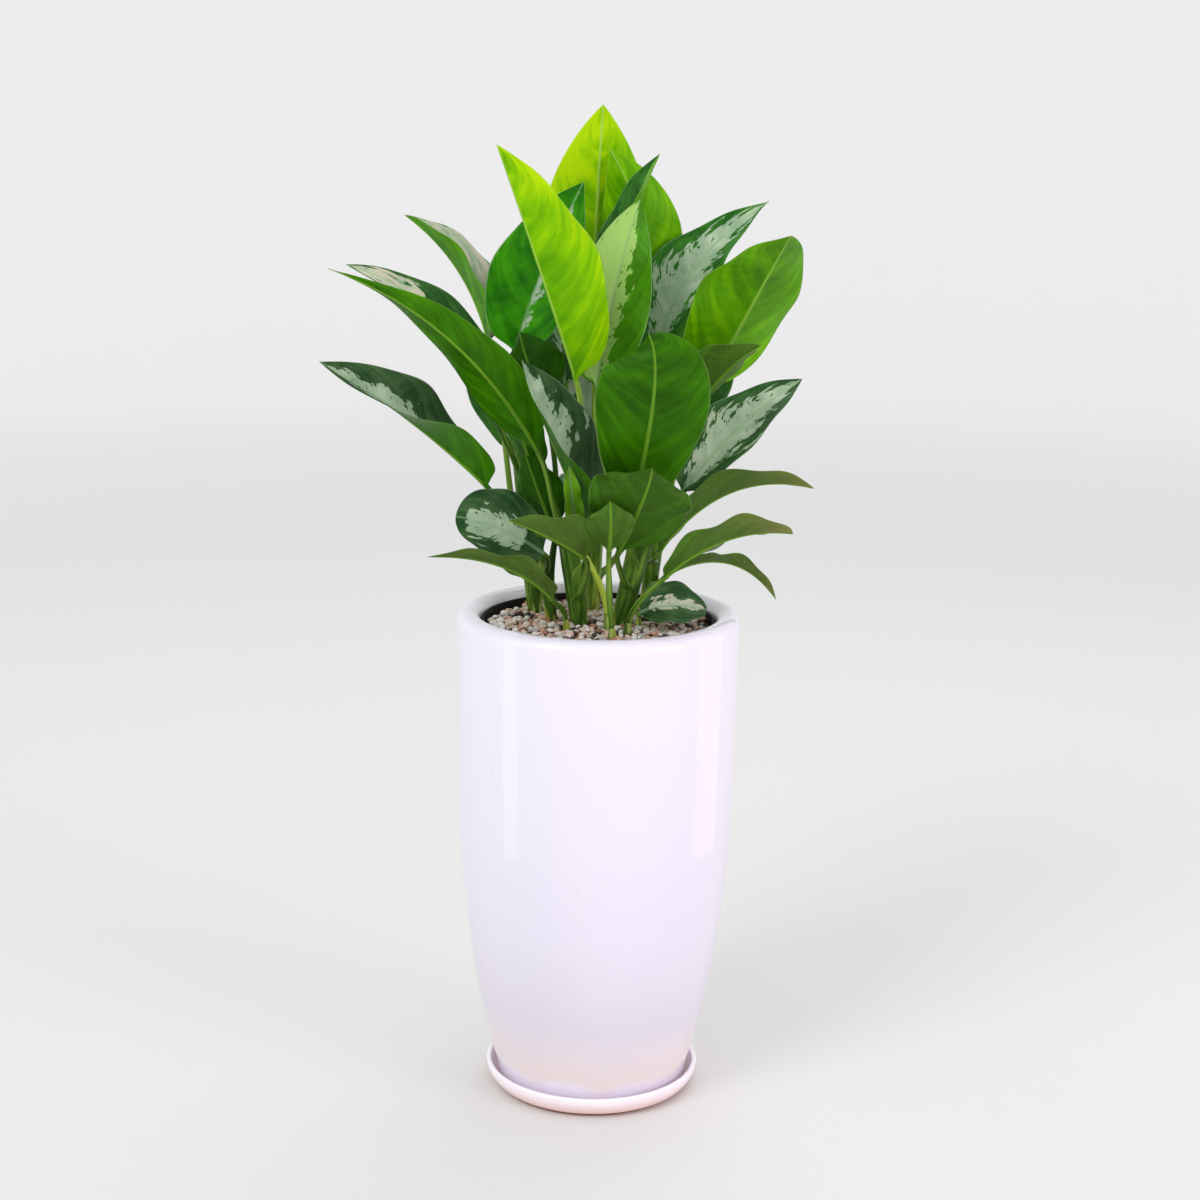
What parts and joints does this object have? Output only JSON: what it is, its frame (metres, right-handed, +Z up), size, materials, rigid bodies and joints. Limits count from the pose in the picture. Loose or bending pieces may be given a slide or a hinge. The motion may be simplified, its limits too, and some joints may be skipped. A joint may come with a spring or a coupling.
{
  "type": "potted chinese evergreen",
  "caption": "Variegated chinese evergreen with broad pointed leaves on upright canes, standing in a tall white glazed pot on its saucer.",
  "frame": {"origin": "on the floor, in the middle of the saucer's foot", "axes": "+Z up along the pot's axis, -Y towards the front from which the plant is usually seen, +X to the right"},
  "size_m": [0.5063, 0.3681, 1.0521],
  "materials": {
    "glaze": "white glazed ceramic, gloss",
    "black_plastic": "matte moulded",
    "clay_pebbles": "rough fired clay",
    "soil": "damp crumb",
    "gravel": "rounded mixed stones",
    "cane": "satin green stem",
    "leaf": "waxy leaf, soft sheen"
  },
  "bodies": {
    "root": {"saucer": "glaze", "ceramic_pot": "glaze", "nursery_pot": "black_plastic", "clay_pebbles": "clay_pebbles", "root_ball": "soil", "gravel": "gravel", "cane_left_back": "cane", "cane_left": "cane", "cane_middle": "cane", "cane_right": "cane", "cane_right_back": "cane", "cane_back": "cane", "shoot_front": "cane", "shoot_front_left": "cane", "shoot_middle": "cane", "shoot_right": "cane", "shoot_far_right": "cane", "leaf_top": "leaf", "leaf_top_right": "leaf", "leaf_top_folded": "leaf", "leaf_top_dark": "leaf", "leaf_bright": "leaf", "leaf_silver": "leaf", "leaf_silver_right": "leaf", "leaf_bright_right": "leaf", "leaf_cupped_right": "leaf", "leaf_variegated_right": "leaf", "leaf_round": "leaf", "leaf_broad_low": "leaf", "leaf_long_right": "leaf", "leaf_low_right": "leaf", "leaf_drooping_right": "leaf", "leaf_on_gravel": "leaf", "leaf_long_left": "leaf", "leaf_behind_left": "leaf", "leaf_inner_left": "leaf", "leaf_upper_left": "leaf", "leaf_twisted_left": "leaf", "leaf_teal": "leaf", "leaf_round_left": "leaf", "leaf_small_dark": "leaf", "leaf_spear": "leaf", "leaf_boat": "leaf", "leaf_small_front": "leaf", "leaf_low_left": "leaf", "leaf_cupped_left": "leaf", "leaf_rear_left": "leaf", "leaf_rear": "leaf", "leaf_rear_high": "leaf", "leaf_rear_middle": "leaf", "leaf_rear_right": "leaf", "leaf_rear_low_left": "leaf", "leaf_rear_low_right": "leaf", "leaf_rear_arched_left": "leaf", "leaf_rear_arched_right": "leaf", "leaf_rear_low": "leaf"}
  },
  "joints": []
}
